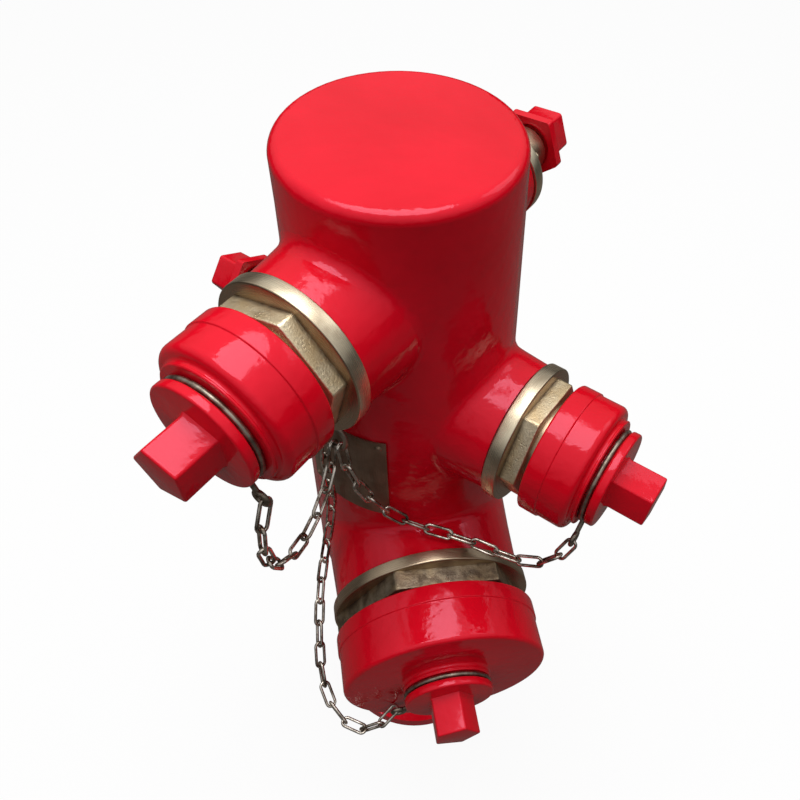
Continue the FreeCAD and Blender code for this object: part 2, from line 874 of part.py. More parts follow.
def anchorCentre():
    # The anchor ring hangs in the eye, its top wire just above the eye's lower wire.
    drop = (size("eyeLoopRadius") - size("eyeWire") - size("anchorRingWire") - size("linkGap")
            + size("anchorRingRadius"))
    return eyeCentre() - Vector(0, 0, drop.value)


def makeAnchorRing():
    ring = doc.addObject("Part::Torus", "chain_anchor_ring")
    ring.Label = "chain_anchor_ring"
    ring.Radius1 = size("anchorRingRadius").value
    ring.Radius2 = size("anchorRingWire").value
    ring.setExpression("Radius1", size("anchorRingRadius").text)
    ring.setExpression("Radius2", size("anchorRingWire").text)
    ring.Placement = Placement(anchorCentre(), Rotation(Vector(0, 0, 1), headingOf(eye["azimuth"])))
    return ring


# Chains

linkSides = 6
linkBendSteps = 4


def makeLinkShape():
    # One oval link in the local XY plane, long along X, of faceted wire.
    wire = sheet.get("linkWire")
    bend = sheet.get("linkWidth") / 2 - wire
    straight = sheet.get("linkLength") / 2 - wire - bend
    spine = []
    for side in (1, -1):
        for step in range(linkBendSteps + 1):
            angle = math.pi * (step / linkBendSteps - 0.5)
            spine.append(Vector(side * (straight + bend * math.cos(angle)), side * bend * math.sin(angle), 0))
    spine.append(spine[0])
    path = Part.makePolygon(spine)
    along = spine[1] - spine[0]
    across = along.cross(Vector(0, 0, 1)).normalize()
    corners = []
    for step in range(linkSides + 1):
        angle = 2 * math.pi * step / linkSides
        corners.append(spine[0] + across * (wire * math.cos(angle)) + Vector(0, 0, wire * math.sin(angle)))
    section = Part.makePolygon(corners)
    return path.makePipeShell([section], True, False, 1)


def localPoint(outlet, point):
    return axisPlacement(outlet).multVec(point)


def pumperPoint(angle, share, clear):
    # A point beside the pumper: an angle from its top towards -X, a share of the way from
    # its boss to its cap's face, and a multiple of the chain's stand-off from the cap's band.
    pumper = outlets[2]
    turn = math.radians(angle)
    radius = sheet.get("pumperCapBandRadius") + clear * sheet.get("chainStandOff")
    boss = bossEnd(pumper).value
    distance = boss + share * (capFront(pumper).value - boss)
    return localPoint(pumper, Vector(-radius * math.sin(turn), radius * math.cos(turn), distance))


def barrelPoint(azimuth, share, clear):
    # A point off the barrel's face, a share of the way from the eye down to the pumper's axis.
    height = eyeHeight - (eyeHeight - pumperHeight) * share
    radius = barrelRadiusAt(height) + size("plateThickness") + size("chainStandOff") * clear
    return headingOf(azimuth) * radius.value + Vector(0, 0, height.value)


def apexReach():
    # From a link's middle to the centre of its wire at either end.
    return sheet.get("linkLength") / 2 - sheet.get("linkWire")


def chainPitch():
    return 2 * (apexReach() - sheet.get("linkWire")) - sheet.get("linkGap")


def hingeOn(wirePoint, leave, wire):
    # The hinge point of a link that hangs on a round wire and leaves along a heading.
    wireTouch = wire + sheet.get("linkWire") + sheet.get("linkGap")
    return wirePoint - leave * (wireTouch - (apexReach() - chainPitch() / 2))


def anchorSpoke(fan):
    # From the anchor ring's centre to its wire, at an angle from its lowest point.
    turn = math.radians(fan)
    side = Vector(0, 0, 1).cross(headingOf(eye["azimuth"]))
    return side * math.sin(turn) - Vector(0, 0, 1) * math.cos(turn)


def anchorPoint(fan):
    return anchorCentre() + anchorSpoke(fan) * sheet.get("anchorRingRadius")


def loopEnd(outlet):
    # The outermost point of the loop on the ring's tail, and the wire's heading there.
    heading = tailHeading(outlet)
    middle = Vector(0, -ringHang().value, ringMiddle(outlet).value)
    reach = sheet.get("ringRadius") + sheet.get("ringTail") + 2 * sheet.get("ringLoopRadius")
    tangent = axisPlacement(outlet).Rotation.multVec(Vector(0, 0, 1).cross(heading))
    return localPoint(outlet, middle + heading * reach), tangent


def hangHinges(fan, outlet, between):
    # Evenly spaced hinges from the anchor ring through the points between to the ring's loop.
    first = anchorPoint(fan)
    last = loopEnd(outlet)[0]
    leave = (between[0] - first).normalize()
    arrive = (between[-1] - last).normalize()
    for settling in range(6):
        start = hingeOn(first, leave, sheet.get("anchorRingWire"))
        end = hingeOn(last, arrive, sheet.get("ringWire"))
        curve = Part.BSplineCurve()
        curve.interpolate([start] + between + [end])
        total = curve.length()
        count = round(total / chainPitch())
        hinges = []
        for step in range(count + 1):
            hinges.append(curve.value(curve.parameterAtDistance(total * step / count)))
        leave = (hinges[1] - hinges[0]).normalize()
        arrive = (hinges[-2] - hinges[-1]).normalize()
    return hinges


def squareTo(heading, direction):
    return (direction - heading * direction.dot(heading)).normalize()


def makeChain(outlet, fan, between):
    hinges = hangHinges(fan, outlet, between)
    count = len(hinges) - 1
    headings = [(there - here).normalize() for here, there in zip(hinges, hinges[1:])]
    startTangent = anchorSpoke(fan).cross(headingOf(eye["azimuth"]))
    endTangent = loopEnd(outlet)[1]
    normals = [squareTo(headings[0], startTangent)]
    for before, after in zip(headings, headings[1:]):
        normals.append(Rotation(before, after).multVec(normals[-1]))
    endNormal = squareTo(headings[-1], endTangent)
    quarter = 90.0
    last = Rotation(headings[-1], quarter * (count - 1)).multVec(normals[-1])
    miss = math.degrees(last.getAngle(endNormal))
    if last.cross(endNormal).dot(headings[-1]) < 0:
        miss = -miss
    miss = (miss + quarter) % (2 * quarter) - quarter
    shape = makeLinkShape()
    links = []
    for step, (heading, normal) in enumerate(zip(headings, normals)):
        twist = quarter * step + miss * step / max(count - 1, 1)
        normal = Rotation(heading, twist).multVec(normal)
        middle = (hinges[step] + hinges[step + 1]) * 0.5
        link = shape.copy()
        link.Placement = Placement(middle, Rotation(heading, normal.cross(heading), normal, "XZY"))
        links.append(link)
    chain = doc.addObject("Part::Feature", outlet["name"] + "_chain")
    chain.Label = outlet["name"] + "_chain"
    chain.Shape = Part.makeCompound(links)
    print(chain.Label, "links", count)
    return chain


def sagPoints(start, end, bend):
    # Points on a round arc that hangs between two ends, its ends turned by the bend.
    chord = end - start
    along = chord * (1 / chord.Length)
    below = squareTo(along, Vector(0, 0, -1))
    half = math.radians(bend)
    radius = chord.Length / (2 * math.sin(half))
    points = []
    for share in (-0.6, -0.2, 0.2, 0.6):
        across = along * (radius * math.sin(share * half))
        deep = below * (radius * (math.cos(share * half) - math.cos(half)))
        points.append((start + end) * 0.5 + across + deep)
    return points


def makeChains():
    upper, lower, pumper = outlets
    sagging = sagPoints(anchorPoint(sheet.get("upperFan")), loopEnd(upper)[0], sheet.get("upperChainBend"))
    across = [barrelPoint(-27.0, 0.37, 1.2), barrelPoint(-7.0, 0.53, 1.0), pumperPoint(-20.0, 0.0, 1.0),
              pumperPoint(-36.0, 0.28, 3.0)]
    down = [barrelPoint(-49.0, 0.3, 1.3), barrelPoint(-50.0, 0.52, 1.0), pumperPoint(78.0, -0.25, 1.2),
            pumperPoint(100.0, 0.33, 2.4), pumperPoint(115.0, 0.7, 3.6), pumperPoint(122.0, 0.95, 3.3),
            pumperPoint(127.0, 1.13, 1.7), pumperPoint(129.0, 1.17, -0.8)]
    return [makeChain(upper, sheet.get("upperFan"), sagging),
            makeChain(lower, sheet.get("lowerFan"), across),
            makeChain(pumper, sheet.get("pumperFan"), down)]


pieces = [makeBarrel()]
for outlet in outlets:
    pieces.append(makeNozzle(outlet))
    pieces.append(makeFlatRing(outlet, "nozzle_seal",
                               outletSize(outlet, "SpigotRadius") + size("fitClearance"),
                               outletSize(outlet, "BossRadius") - size("flatSealThickness"),
                               bossEnd(outlet), size("flatSealThickness")))
    pieces.append(makeCap(outlet))
    pieces.append(makeFlatRing(outlet, "cap_gasket", outletSize(outlet, "Bore"),
                               outletSize(outlet, "ThreadRadius"), gasketStart(outlet),
                               size("gasketThickness")))
    pieces.append(makeCapRing(outlet))
    pieces.append(makeCarrier(outlet))
    pieces.append(makeFlatRing(outlet, "valve_rubber", size("snoutRadius") + size("fitClearance"),
                               outletSize(outlet, "RubberRadius"), rubberBack(outlet),
                               outletSize(outlet, "RubberThickness")))
    pieces.append(makeFlatRing(outlet, "rubber_retainer",
                               size("snoutRadius") + size("fitClearance"),
                               outletSize(outlet, "RetainerRadius"),
                               seatFace(outlet) - size("seatClearance"),
                               size("retainerThickness")))
    pieces.append(makeValveNut(outlet))
    pieces.append(makeStem(outlet))
    pieces.append(makeInsert(outlet))
    pieces.append(makeFlatRing(outlet, "insert_gasket",
                               size("insertSpigotRadius") + size("fitClearance"),
                               size("stemBossRadius") - size("flatSealThickness"),
                               stemBossEnd(outlet), size("flatSealThickness"), True))
    pieces.append(makeStemSeals(outlet))
    pieces.append(makeOperatingNut(outlet))
pieces += [makeNameplate(), makeRivets(), makeChainEye(), makeAnchorRing()]
pieces += makeChains()

# Every object is checked before any file is written

doc.recompute()
for item in doc.Objects:
    if "Invalid" in item.State or "Error" in item.State:
        raise RuntimeError("%s did not build: %s" % (item.Label, item.State))
for piece in pieces:
    if piece.Shape.isNull() or not piece.Shape.isValid():
        raise RuntimeError(piece.Label + " has no valid shape")

os.makedirs("parts", exist_ok=True)
for piece in pieces:
    piece.Shape.exportStep("parts/%s.step" % piece.Label)
print("pieces", len(pieces))
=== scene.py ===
import json
import math

import bmesh
import bpy
import numpy as np
from mathutils import Matrix, Vector


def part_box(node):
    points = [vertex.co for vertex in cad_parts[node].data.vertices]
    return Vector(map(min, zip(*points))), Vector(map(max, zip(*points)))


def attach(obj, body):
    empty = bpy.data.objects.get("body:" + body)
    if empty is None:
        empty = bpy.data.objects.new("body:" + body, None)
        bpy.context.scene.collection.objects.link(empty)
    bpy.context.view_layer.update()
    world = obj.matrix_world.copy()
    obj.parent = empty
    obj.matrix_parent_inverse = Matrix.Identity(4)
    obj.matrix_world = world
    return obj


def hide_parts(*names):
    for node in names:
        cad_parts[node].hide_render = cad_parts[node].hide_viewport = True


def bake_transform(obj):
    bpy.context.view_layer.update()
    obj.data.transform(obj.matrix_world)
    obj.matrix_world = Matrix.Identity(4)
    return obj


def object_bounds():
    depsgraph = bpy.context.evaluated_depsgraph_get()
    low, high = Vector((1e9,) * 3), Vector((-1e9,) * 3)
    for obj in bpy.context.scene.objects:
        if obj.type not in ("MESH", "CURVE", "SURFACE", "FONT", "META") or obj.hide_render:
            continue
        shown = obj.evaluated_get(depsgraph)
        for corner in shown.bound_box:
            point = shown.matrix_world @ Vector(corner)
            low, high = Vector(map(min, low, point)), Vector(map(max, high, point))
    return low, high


# Wet barrel fire hydrant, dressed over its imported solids.
# Metres, +Z up, the pumper outlet faces -Y.

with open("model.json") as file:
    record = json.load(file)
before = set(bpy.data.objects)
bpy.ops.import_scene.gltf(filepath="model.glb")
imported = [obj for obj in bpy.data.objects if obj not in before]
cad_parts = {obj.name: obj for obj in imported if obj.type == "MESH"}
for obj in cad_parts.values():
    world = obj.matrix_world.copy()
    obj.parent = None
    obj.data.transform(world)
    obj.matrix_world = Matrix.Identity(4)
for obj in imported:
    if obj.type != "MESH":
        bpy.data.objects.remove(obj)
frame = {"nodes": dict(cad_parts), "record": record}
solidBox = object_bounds()
nodes = frame["nodes"]
print("frame loaded with", len(nodes), "nodes")

# where the outlets stand, how their pieces are turned about the outlet's axis, and how much painted shade
# darkens each outlet's brass, most on the pumper
outlets = {
    "upper_hose": {"azimuth": -45.0, "kind": "hose", "brassShade": 0.12,
                   "hexTurn": 44.0, "nutTurn": 16.0, "operatingTurn": 32.0, "tailSwing": 25.0},
    "lower_hose": {"azimuth": 45.0, "kind": "hose", "brassShade": 0.25,
                   "hexTurn": 26.0, "nutTurn": 40.0, "operatingTurn": 62.0, "tailSwing": -35.0},
    "pumper": {"azimuth": 0.0, "kind": "pumper", "brassShade": 0.9,
               "hexTurn": 22.0, "nutTurn": 52.0, "operatingTurn": 0.0, "tailSwing": -50.0},
}
for name, outlet in outlets.items():
    capLow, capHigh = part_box(name + "_cap")
    outlet["height"] = (capLow.z + capHigh.z) / 2


def headingOf(azimuth):
    angle = math.radians(azimuth)
    return Vector((math.sin(angle), -math.cos(angle), 0.0))


def axisMatrix(outlet, behind=False):
    # local Z runs out along the outlet (or out of the far side), local Y stays upright
    along = headingOf(outlet["azimuth"]) * (-1 if behind else 1)
    up = Vector((0, 0, 1))
    side = up.cross(along)
    turn = Matrix((side, up, along)).transposed().to_4x4()
    return Matrix.Translation((0, 0, outlet["height"])) @ turn


# shader helpers: a node with its settings, and sockets given as numbers or links

def place(tree, kind, settings=None, sockets=None):
    node = tree.nodes.new(kind)
    for word, value in (settings or {}).items():
        setattr(node, word, value)
    for word, value in (sockets or {}).items():
        if isinstance(value, bpy.types.NodeSocket):
            tree.links.new(value, node.inputs[word])
        else:
            node.inputs[word].default_value = value
    return node


def mixColour(tree, factor, first, second):
    # the colour sockets of a Mix node are 6 and 7, and its colour comes out at 2
    node = place(tree, "ShaderNodeMix", {"data_type": "RGBA"}, {0: factor, 6: first, 7: second})
    return node.outputs[2]


def mapped(tree, value, low, high, fromLow=0.0, fromHigh=1.0):
    node = place(tree, "ShaderNodeMapRange", {"interpolation_type": "SMOOTHSTEP"}, {
        "Value": value, "From Min": fromLow, "From Max": fromHigh, "To Min": low, "To Max": high})
    return node.outputs["Result"]


def maths(tree, operation, first, second):
    return place(tree, "ShaderNodeMath", {"operation": operation}, {0: first, 1: second}).outputs[0]


def newGroup(name, inputs, outputs):
    group = bpy.data.node_groups.new(name, "ShaderNodeTree")
    for label, kind, value in inputs:
        socket = group.interface.new_socket(label, in_out="INPUT", socket_type=kind)
        if value is not None:
            socket.default_value = value
    for label, kind in outputs:
        group.interface.new_socket(label, in_out="OUTPUT", socket_type=kind)
    return group, group.nodes.new("NodeGroupInput"), group.nodes.new("NodeGroupOutput")


def makeToneGroup():
    # slow uneven tone over a surface, from low to high
    group, start, end = newGroup("slowTone", [
        ("Vector", "NodeSocketVector", None), ("Scale", "NodeSocketFloat", 8.0),
        ("Low", "NodeSocketFloat", 0.0), ("High", "NodeSocketFloat", 1.0)],
        [("Value", "NodeSocketFloat")])
    noise = place(group, "ShaderNodeTexNoise", None, {
        "Vector": start.outputs["Vector"], "Scale": start.outputs["Scale"],
        "Detail": 4.0, "Roughness": 0.6, "Distortion": 0.3})
    value = mapped(group, noise.outputs["Fac"], start.outputs["Low"], start.outputs["High"], 0.32, 0.68)
    group.links.new(value, end.inputs["Value"])
    return group


def makeGrainGroup():
    # sand-cast skin: fine grain with scattered pits
    group, start, end = newGroup("castGrain", [
        ("Vector", "NodeSocketVector", None), ("Scale", "NodeSocketFloat", 300.0),
        ("Pitting", "NodeSocketFloat", 0.5)],
        [("Height", "NodeSocketFloat"), ("Pits", "NodeSocketFloat")])
    grain = place(group, "ShaderNodeTexNoise", None, {
        "Vector": start.outputs["Vector"], "Scale": start.outputs["Scale"],
        "Detail": 5.0, "Roughness": 0.65})
    cells = place(group, "ShaderNodeTexVoronoi", {"feature": "F1"}, {
        "Vector": start.outputs["Vector"],
        "Scale": maths(group, "MULTIPLY", start.outputs["Scale"], 0.9), "Randomness": 1.0})
    patches = place(group, "ShaderNodeTexNoise", None, {
        "Vector": start.outputs["Vector"],
        "Scale": maths(group, "MULTIPLY", start.outputs["Scale"], 0.17), "Detail": 2.0})
    dots = mapped(group, cells.outputs["Distance"], 1.0, 0.0, 0.10, 0.34)
    where = mapped(group, patches.outputs["Fac"], 0.0, 1.0, 0.45, 0.62)
    pits = maths(group, "MULTIPLY", maths(group, "MULTIPLY", dots, where), start.outputs["Pitting"])
    height = maths(group, "SUBTRACT", grain.outputs["Fac"], pits)
    group.links.new(height, end.inputs["Height"])
    group.links.new(pits, end.inputs["Pits"])
    return group


def makeMarksGroup():
    # sparse handling marks: short thin scuffs in a few places
    group, start, end = newGroup("handlingMarks", [
        ("Vector", "NodeSocketVector", None), ("Scale", "NodeSocketFloat", 60.0),
        ("Amount", "NodeSocketFloat", 0.5)], [("Mask", "NodeSocketFloat")])
    stretched = place(group, "ShaderNodeMapping", None, {
        "Vector": start.outputs["Vector"], "Rotation": (0.4, 0.9, 0.3), "Scale": (1.0, 0.22, 0.6)})
    lines = place(group, "ShaderNodeTexNoise", None, {
        "Vector": stretched.outputs["Vector"], "Scale": start.outputs["Scale"],
        "Detail": 6.0, "Roughness": 0.7})
    areas = place(group, "ShaderNodeTexNoise", None, {
        "Vector": start.outputs["Vector"], "Scale": 11.0, "Detail": 1.0})
    thin = mapped(group, lines.outputs["Fac"], 0.0, 1.0, 0.66, 0.72)
    near = mapped(group, areas.outputs["Fac"], 0.0, 1.0, 0.58, 0.70)
    mask = maths(group, "MULTIPLY", maths(group, "MULTIPLY", thin, near), start.outputs["Amount"])
    group.links.new(mask, end.inputs["Mask"])
    return group


def makeTurnedGroup():
    # fine tool lines that a lathe leaves, round the axis
    group, start, end = newGroup("turnedLines", [
        ("From Axis", "NodeSocketFloat", 0.0), ("Along Axis", "NodeSocketFloat", 0.0),
        ("Scale", "NodeSocketFloat", 1800.0)], [("Height", "NodeSocketFloat")])
    where = maths(group, "ADD", start.outputs["From Axis"], start.outputs["Along Axis"])
    lines = place(group, "ShaderNodeTexNoise", {"noise_dimensions": "1D"}, {
        "W": where, "Scale": start.outputs["Scale"], "Detail": 3.0, "Roughness": 0.6})
    group.links.new(lines.outputs["Fac"], end.inputs["Height"])
    return group


groups = {
    "tone": makeToneGroup(),
    "grain": makeGrainGroup(),
    "marks": makeMarksGroup(),
    "turned": makeTurnedGroup(),
}
print("shader groups ready")


def startFinish(name):
    finish = bpy.data.materials.new(name)
    finish.use_nodes = True
    tree = finish.node_tree
    shader = tree.nodes["Principled BSDF"]
    coords = place(tree, "ShaderNodeTexCoord").outputs["Object"]
    return finish, tree, shader, coords


def useGroup(tree, word, sockets):
    return place(tree, "ShaderNodeGroup", {"node_tree": groups[word]}, sockets)


def toneOver(tree, coords, scale, low=0.0, high=1.0):
    node = useGroup(tree, "tone", {"Vector": coords, "Scale": scale, "Low": low, "High": high})
    return node.outputs["Value"]


def marksOver(tree, coords, scale, amount):
    return useGroup(tree, "marks", {"Vector": coords, "Scale": scale, "Amount": amount}).outputs["Mask"]


def grainOver(tree, coords, scale, pitting):
    return useGroup(tree, "grain", {"Vector": coords, "Scale": scale, "Pitting": pitting}).outputs


def bumpFrom(tree, shader, height, strength, distance):
    bump = place(tree, "ShaderNodeBump", None, {
        "Height": height, "Strength": strength, "Distance": distance})
    tree.links.new(bump.outputs["Normal"], shader.inputs["Normal"])


def attributeValue(tree, name):
    return place(tree, "ShaderNodeAttribute", {"attribute_name": name}).outputs["Fac"]


redEnamelLook = {
    "deep": (0.63, 0.002, 0.010, 1.0), "bright": (0.74, 0.004, 0.017, 1.0),
    "scuffed": (0.74, 0.05, 0.05, 1.0), "marks": 0.06, "toneScale": 7.0,
    "peelScale": 150.0, "waveScale": 34.0, "waveShare": 1.6, "bumpStrength": 0.30,
    "smooth": 0.09, "dull": 0.16, "sheen": (1.0, 0.52, 0.70, 1.0),
}


def makeRedEnamel():
    finish, tree, shader, coords = startFinish("redEnamel")
    look = redEnamelLook
    tone = toneOver(tree, coords, look["toneScale"])
    marks = marksOver(tree, coords, 70.0, look["marks"])
    paint = mixColour(tree, tone, look["deep"], look["bright"])
    tree.links.new(mixColour(tree, marks, paint, look["scuffed"]), shader.inputs["Base Color"])
    rough = toneOver(tree, coords, 26.0, look["smooth"], look["dull"])
    tree.links.new(maths(tree, "ADD", rough, marks), shader.inputs["Roughness"])
    peel = place(tree, "ShaderNodeTexNoise", None, {
        "Vector": coords, "Scale": look["peelScale"], "Detail": 2.0, "Roughness": 0.4}).outputs["Fac"]
    wave = place(tree, "ShaderNodeTexNoise", None, {
        "Vector": coords, "Scale": look["waveScale"], "Detail": 1.0, "Roughness": 0.4}).outputs["Fac"]
    height = maths(tree, "ADD", peel, maths(tree, "MULTIPLY", wave, look["waveShare"]))
    bumpFrom(tree, shader, height, look["bumpStrength"], 0.0012)
    shader.inputs["IOR"].default_value = 1.5
    shader.inputs["Specular Tint"].default_value = look["sheen"]
    return finish


# the darkest colour fills the cast pits, and is also the painted shade laid on by the per-vertex attribute
castBrassLook = {
    "pale": (0.95, 0.83, 0.60, 1.0), "warm": (0.78, 0.59, 0.33, 1.0), "grimeAndShade": (0.09, 0.06, 0.044, 1.0),
    "grainScale": 560.0, "pitting": 0.4,
}


def makeCastBrass():
    finish, tree, shader, coords = startFinish("castBrass")
    look = castBrassLook
    tone = toneOver(tree, coords, 34.0)
    grain = grainOver(tree, coords, look["grainScale"], look["pitting"])
    metal = mixColour(tree, tone, look["pale"], look["warm"])
    metal = mixColour(tree, grain["Pits"], metal, look["grimeAndShade"])
    # painted shade: the per-vertex attribute, varied at random, pulls the brass towards the dark colour
    grimeAndShade = maths(tree, "MULTIPLY", attributeValue(tree, "grimeAndShade"),
                  toneOver(tree, coords, 90.0, 0.65, 1.0))
    tree.links.new(mixColour(tree, grimeAndShade, metal, look["grimeAndShade"]), shader.inputs["Base Color"])
    rough = toneOver(tree, coords, 60.0, 0.27, 0.44)
    tree.links.new(rough, shader.inputs["Roughness"])
    bumpFrom(tree, shader, grain["Height"], 0.55, 0.0009)
    shader.inputs["Metallic"].default_value = 0.9
    return finish


turnedBrassLook = {"pale": (0.95, 0.85, 0.63, 1.0), "brown": (0.40, 0.29, 0.19, 1.0), "lines": 2200.0}


def makeTurnedBrass():
    finish, tree, shader, coords = startFinish("turnedBrass")
    look = turnedBrassLook
    lines = useGroup(tree, "turned", {
        "From Axis": attributeValue(tree, "fromAxis"), "Along Axis": attributeValue(tree, "alongAxis"),
        "Scale": look["lines"]}).outputs["Height"]
    tone = toneOver(tree, coords, 24.0, 0.0, 0.7)
    metal = mixColour(tree, tone, look["pale"], look["brown"])
    # painted shade: the per-vertex attribute pulls the turned brass towards brown
    tree.links.new(mixColour(tree, attributeValue(tree, "grimeAndShade"), metal, look["brown"]),
                   shader.inputs["Base Color"])
    tree.links.new(mapped(tree, lines, 0.26, 0.40, 0.3, 0.7), shader.inputs["Roughness"])
    bumpFrom(tree, shader, lines, 0.08, 0.0003)
    shader.inputs["Metallic"].default_value = 1.0
    return finish


wireLooks = {
    "darkSteel": {"clean": (0.42, 0.37, 0.30, 1.0), "tarnish": (0.16, 0.13, 0.10, 1.0),
                  "low": 0.32, "high": 0.55},
    "chainSteel": {"clean": (0.86, 0.80, 0.71, 1.0), "tarnish": (0.20, 0.155, 0.115, 1.0),
                   "low": 0.14, "high": 0.30},
    "valveBronze": {"clean": (0.62, 0.42, 0.22, 1.0), "tarnish": (0.30, 0.19, 0.10, 1.0),
                    "low": 0.28, "high": 0.5},
}


def makeBareMetal(name):
    finish, tree, shader, coords = startFinish(name)
    look = wireLooks[name]
    tone = toneOver(tree, coords, 95.0)
    grain = grainOver(tree, coords, 900.0, 0.4)
    metal = mixColour(tree, tone, look["clean"], look["tarnish"])
    tree.links.new(mixColour(tree, grain["Pits"], metal, look["tarnish"]), shader.inputs["Base Color"])
    rough = toneOver(tree, coords, 160.0, look["low"], look["high"])
    tree.links.new(rough, shader.inputs["Roughness"])
    bumpFrom(tree, shader, grain["Height"], 0.2, 0.0003)
    shader.inputs["Metallic"].default_value = 1.0
    return finish


plateLook = {"clean": (0.33, 0.24, 0.17, 1.0), "dull": (0.22, 0.155, 0.105, 1.0),
             "scuffed": (0.55, 0.46, 0.37, 1.0)}


def makePlateMetal():
    finish, tree, shader, coords = startFinish("plateMetal")
    brushed = place(tree, "ShaderNodeMapping", None, {
        "Vector": coords, "Scale": (1.0, 1.0, 0.05)}).outputs["Vector"]
    lines = place(tree, "ShaderNodeTexNoise", None, {
        "Vector": brushed, "Scale": 900.0, "Detail": 3.0, "Roughness": 0.6}).outputs["Fac"]
    tone = toneOver(tree, coords, 38.0)
    marks = marksOver(tree, coords, 180.0, 0.6)
    metal = mixColour(tree, tone, plateLook["clean"], plateLook["dull"])
    tree.links.new(mixColour(tree, marks, metal, plateLook["scuffed"]), shader.inputs["Base Color"])
    tree.links.new(mapped(tree, lines, 0.34, 0.6, 0.3, 0.7), shader.inputs["Roughness"])
    bumpFrom(tree, shader, lines, 0.15, 0.0003)
    shader.inputs["Metallic"].default_value = 0.85
    return finish


rubberLook = {"dark": (0.016, 0.015, 0.014, 1.0), "worn": (0.045, 0.043, 0.04, 1.0)}


def makeBlackRubber():
    finish, tree, shader, coords = startFinish("blackRubber")
    tone = toneOver(tree, coords, 60.0)
    grain = grainOver(tree, coords, 1100.0, 0.3)
    tree.links.new(mixColour(tree, tone, rubberLook["dark"], rubberLook["worn"]),
                   shader.inputs["Base Color"])
    rough = toneOver(tree, coords, 120.0, 0.6, 0.8)
    tree.links.new(rough, shader.inputs["Roughness"])
    bumpFrom(tree, shader, grain["Height"], 0.2, 0.0004)
    return finish


finishes = {
    "red_enamel": makeRedEnamel(),
    "cast_brass": makeCastBrass(),
    "turned_brass": makeTurnedBrass(),
    "dark_steel": makeBareMetal("darkSteel"),
    "chain_steel": makeBareMetal("chainSteel"),
    "valve_bronze": makeBareMetal("valveBronze"),
    "plate_metal": makePlateMetal(),
    "black_rubber": makeBlackRubber(),
}
for subpart in frame["record"]["subparts"]:
    mesh = nodes[subpart["node"]].data
    mesh.materials.clear()
    mesh.materials.append(finishes[subpart["material_slot"]])
print("finishes on all solids")


# mesh helpers

def turnedShape(bm, corners, steps, closed=False, roundSteps=4):
    # spins a line of (radius, along, rounding) corners about local Z
    row = [bm.verts.new((radius, 0.0, along)) for radius, along, rounding in corners]
    ends = row[1:] + row[:1] if closed else row[1:]
    for here, there in zip(row, ends):
        bm.edges.new((here, there))
    for vert, (radius, along, rounding) in zip(row, corners):
        if rounding:
            bmesh.ops.bevel(bm, geom=[vert], offset=rounding, offset_type="OFFSET", affect="VERTICES",
                            segments=roundSteps, profile=0.5, material=-1)
    bmesh.ops.spin(bm, geom=bm.verts[:] + bm.edges[:], cent=(0, 0, 0), axis=(0, 0, 1),
                   angle=math.tau, steps=steps, use_merge=True)


def polygonPrism(bm, sides, radius, turn, low, high, sideRound, topRound, flare=0.0):
    # a regular prism about local Z, first corner turned from +Y, its foot flared by a small fillet
    spot = Matrix.Translation((0, 0, low)) @ Matrix.Rotation(math.radians(turn), 4, "Z")
    made = bmesh.ops.create_circle(bm, cap_ends=True, segments=sides, radius=radius, matrix=spot)
    foot = made["verts"][0].link_faces[0]
    raised = bmesh.ops.extrude_face_region(bm, geom=[foot])["geom"]
    top = [item for item in raised if isinstance(item, bmesh.types.BMVert)]
    bmesh.ops.translate(bm, verts=top, vec=(0, 0, high - low))
    edges = {edge for vert in top for edge in vert.link_edges}
    uprights = [edge for edge in edges if abs(edge.verts[0].co.z - edge.verts[1].co.z) > 1e-6]
    bmesh.ops.bevel(bm, geom=uprights, offset=sideRound, offset_type="OFFSET", affect="EDGES",
                    segments=4, profile=0.5, material=-1)
    rim = [edge for edge in bm.edges if all(vert.co.z > high - 1e-6 for vert in edge.verts)]
    bmesh.ops.bevel(bm, geom=rim, offset=topRound, offset_type="OFFSET", affect="EDGES",
                    segments=4, profile=0.5, material=-1)
    if flare:
        bmesh.ops.bisect_plane(bm, geom=bm.verts[:] + bm.edges[:] + bm.faces[:],
                               plane_co=(0, 0, low + flare), plane_no=(0, 0, 1))
        grow = 1 + flare * 0.7 / radius
        rings = [vert for vert in bm.verts if vert.co.z < low + 1e-6]
        bmesh.ops.scale(bm, verts=rings, vec=(grow, grow, 1.0))


def wireHoop(bm, mean, wire, centre, turn, steps, sides=14):
    # a round-wire ring, centre and turn as a matrix, lying in its own XY plane
    upright = Matrix.Translation((mean, 0, 0)) @ Matrix.Rotation(math.pi / 2, 4, "X")
    made = bmesh.ops.create_circle(bm, segments=sides, radius=wire, matrix=upright)
    loop = list({edge for vert in made["verts"] for edge in vert.link_edges})
    old = set(bm.verts) - set(made["verts"])
    bmesh.ops.spin(bm, geom=made["verts"] + loop, cent=(0, 0, 0), axis=(0, 0, 1),
                   angle=math.tau, steps=steps, use_merge=True)
    new = [vert for vert in bm.verts if vert not in old]
    bmesh.ops.transform(bm, matrix=Matrix.Translation(centre) @ turn, verts=new)


def wireRod(bm, start, end, wire, sides=14):
    reach = end - start
    spot = Matrix.Translation((start + end) / 2) @ reach.to_track_quat("Z", "Y").to_matrix().to_4x4()
    bmesh.ops.create_cone(bm, cap_ends=True, segments=sides, radius1=wire, radius2=wire,
                          depth=reach.length, matrix=spot)


def joinShape(bm, other):
    # puts one finished shape into another
    holder = bpy.data.meshes.new("shapeHolder")
    other.to_mesh(holder)
    other.free()
    bm.from_mesh(holder)
    bpy.data.meshes.remove(holder)


